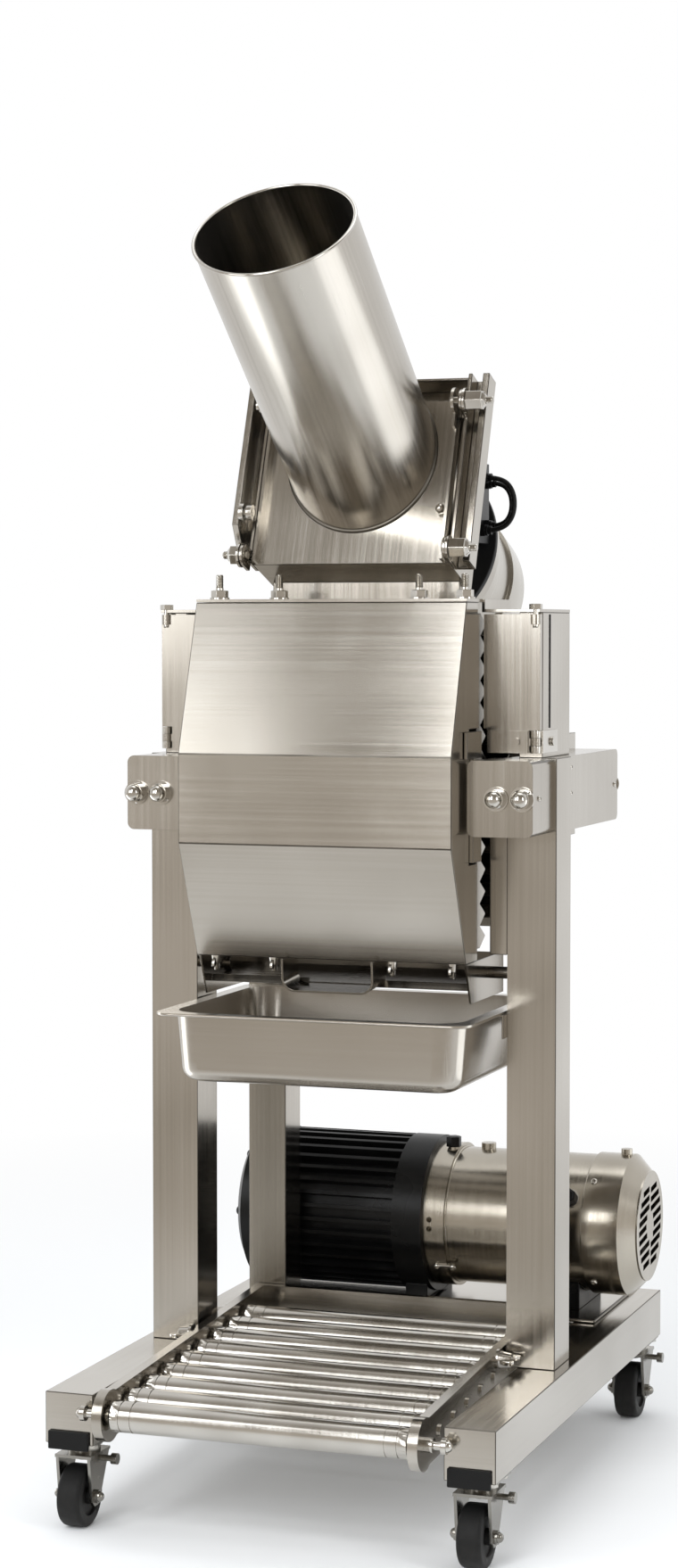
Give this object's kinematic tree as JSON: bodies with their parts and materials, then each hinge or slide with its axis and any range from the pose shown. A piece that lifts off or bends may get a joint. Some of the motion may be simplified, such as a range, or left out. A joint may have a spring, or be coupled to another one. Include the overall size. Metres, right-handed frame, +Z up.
{
  "type": "slow juicer",
  "caption": "Floor-standing cold-press juicer on casters: inclined feed tube and grinder over a horizontal press, with a juice spout, catch pan and roller bed.",
  "frame": {"origin": "on the floor under the middle of the machine", "axes": "+Z up, -Y towards the user at the spout side, +X to the user's right"},
  "size_m": [0.465, 0.676, 1.2882],
  "materials": {
    "stainless": "brushed",
    "polished": "polished",
    "black_paint": "satin",
    "black_rubber": "matte",
    "wheel_tread": "matte",
    "lead_jacket": "satin"
  },
  "bodies": {
    "frame": {"base_rails": "stainless", "bed_axles": "polished", "bed_bars": "stainless", "bed_wing_screws": "polished", "caster_plates": "polished", "columns": "stainless", "cross_beams": "stainless", "crossheads": "stainless", "door_hinges": "stainless", "fan_cowl": "stainless", "front_press_plate": "stainless", "grinder_fan_cover": "stainless", "grinder_gasket": "black_rubber", "grinder_housing": "stainless", "grinder_motor": "stainless", "grinder_supports": "stainless", "hood_pins": "polished", "juice_trough": "stainless", "junction_box": "black_paint", "motor_lead_a": "lead_jacket", "motor_lead_b": "lead_jacket", "pan_runners": "stainless", "power_feet": "black_paint", "power_motor": "stainless", "press_cylinder": "stainless", "pump_housing": "black_paint", "rail_pads": "black_rubber", "rear_posts": "stainless", "side_boxes": "stainless", "side_plates": "stainless", "tie_rods": "polished", "top_plate": "stainless", "top_studs": "polished"},
    "caster_fl": {"caster_fork_fl": "polished"},
    "wheel_fl": {"caster_wheel_fl": "wheel_tread"},
    "caster_fr": {"caster_fork_fr": "polished"},
    "wheel_fr": {"caster_wheel_fr": "wheel_tread"},
    "caster_rl": {"caster_fork_rl": "polished"},
    "wheel_rl": {"caster_wheel_rl": "wheel_tread"},
    "caster_rr": {"caster_fork_rr": "polished"},
    "wheel_rr": {"caster_wheel_rr": "wheel_tread"},
    "bed_roller_1": {"roller_1": "polished"},
    "bed_roller_2": {"roller_2": "polished"},
    "bed_roller_3": {"roller_3": "polished"},
    "bed_roller_4": {"roller_4": "polished"},
    "bed_roller_5": {"roller_5": "polished"},
    "bed_roller_6": {"roller_6": "polished"},
    "bed_roller_7": {"roller_7": "polished"},
    "bed_roller_8": {"roller_8": "polished"},
    "bed_roller_9": {"roller_9": "polished"},
    "press": {"press_platen": "stainless"},
    "cover": {"front_cover": "stainless", "cover_wing_nuts": "polished"},
    "guard_left": {"guard_door_left": "stainless"},
    "guard_right": {"guard_door_right": "stainless"},
    "pan": {"pan": "stainless"},
    "hood": {"feed_hood": "stainless"},
    "cutter": {"cutter": "stainless"},
    "motor_fan": {"power_fan": "stainless"}
  },
  "joints": [
    {"name": "caster_fl_swivel", "type": "hinge", "parent": "frame", "child": "caster_fl", "pos_m": [-0.201, -0.267, 0.075], "axis": [0, 0, 1], "continuous": true},
    {"name": "wheel_fl_roll", "type": "hinge", "parent": "caster_fl", "child": "wheel_fl", "pos_m": [-0.201, -0.279, 0.03], "axis": [1, 0, 0], "continuous": true},
    {"name": "caster_fr_swivel", "type": "hinge", "parent": "frame", "child": "caster_fr", "pos_m": [0.201, -0.267, 0.075], "axis": [0, 0, 1], "continuous": true},
    {"name": "wheel_fr_roll", "type": "hinge", "parent": "caster_fr", "child": "wheel_fr", "pos_m": [0.201, -0.279, 0.03], "axis": [1, 0, 0], "continuous": true},
    {"name": "caster_rl_swivel", "type": "hinge", "parent": "frame", "child": "caster_rl", "pos_m": [-0.201, 0.315, 0.075], "axis": [0, 0, 1], "continuous": true},
    {"name": "wheel_rl_roll", "type": "hinge", "parent": "caster_rl", "child": "wheel_rl", "pos_m": [-0.201, 0.303, 0.03], "axis": [1, 0, 0], "continuous": true},
    {"name": "caster_rr_swivel", "type": "hinge", "parent": "frame", "child": "caster_rr", "pos_m": [0.201, 0.315, 0.075], "axis": [0, 0, 1], "continuous": true},
    {"name": "wheel_rr_roll", "type": "hinge", "parent": "caster_rr", "child": "wheel_rr", "pos_m": [0.201, 0.303, 0.03], "axis": [1, 0, 0], "continuous": true},
    {"name": "bed_roller_1_spin", "type": "hinge", "parent": "frame", "child": "bed_roller_1", "pos_m": [0, -0.313, 0.12], "axis": [1, 0, 0], "continuous": true},
    {"name": "bed_roller_2_spin", "type": "hinge", "parent": "frame", "child": "bed_roller_2", "pos_m": [0, -0.269, 0.12225], "axis": [1, 0, 0], "continuous": true},
    {"name": "bed_roller_3_spin", "type": "hinge", "parent": "frame", "child": "bed_roller_3", "pos_m": [0, -0.225, 0.1245], "axis": [1, 0, 0], "continuous": true},
    {"name": "bed_roller_4_spin", "type": "hinge", "parent": "frame", "child": "bed_roller_4", "pos_m": [0, -0.181, 0.12675], "axis": [1, 0, 0], "continuous": true},
    {"name": "bed_roller_5_spin", "type": "hinge", "parent": "frame", "child": "bed_roller_5", "pos_m": [0, -0.137, 0.129], "axis": [1, 0, 0], "continuous": true},
    {"name": "bed_roller_6_spin", "type": "hinge", "parent": "frame", "child": "bed_roller_6", "pos_m": [0, -0.093, 0.13125], "axis": [1, 0, 0], "continuous": true},
    {"name": "bed_roller_7_spin", "type": "hinge", "parent": "frame", "child": "bed_roller_7", "pos_m": [0, -0.049, 0.1335], "axis": [1, 0, 0], "continuous": true},
    {"name": "bed_roller_8_spin", "type": "hinge", "parent": "frame", "child": "bed_roller_8", "pos_m": [0, -0.005, 0.13575], "axis": [1, 0, 0], "continuous": true},
    {"name": "bed_roller_9_spin", "type": "hinge", "parent": "frame", "child": "bed_roller_9", "pos_m": [0, 0.039, 0.138], "axis": [1, 0, 0], "continuous": true},
    {"name": "press_stroke", "type": "slide", "parent": "frame", "child": "press", "axis": [0, -1, 0], "range_m": [0, 0.06]},
    {"name": "cover_lift_off", "type": "slide", "parent": "frame", "child": "cover", "axis": [0, -1, 0], "range_m": [0, 0.2]},
    {"name": "guard_left_hinge", "type": "hinge", "parent": "frame", "child": "guard_left", "pos_m": [-0.195, -0.068, 0.82], "axis": [0, 0, -1], "range_deg": [0, 100]},
    {"name": "guard_right_hinge", "type": "hinge", "parent": "frame", "child": "guard_right", "pos_m": [0.195, -0.068, 0.82], "axis": [0, 0, 1], "range_deg": [0, 100]},
    {"name": "pan_slide", "type": "slide", "parent": "frame", "child": "pan", "axis": [0, -1, 0], "range_m": [0, 0.2]},
    {"name": "hood_hinge", "type": "hinge", "parent": "frame", "child": "hood", "pos_m": [0, -0.02404, 1.09489], "axis": [-1, 0, 0], "range_deg": [0, 35]},
    {"name": "cutter_spin", "type": "hinge", "parent": "frame", "child": "cutter", "pos_m": [0, -0.01808, 1.00013], "axis": [0, -0.9397, 0.342], "continuous": true},
    {"name": "motor_fan_spin", "type": "hinge", "parent": "frame", "child": "motor_fan", "pos_m": [0.15, 0.238, 0.226], "axis": [1, 0, 0], "continuous": true}
  ]
}
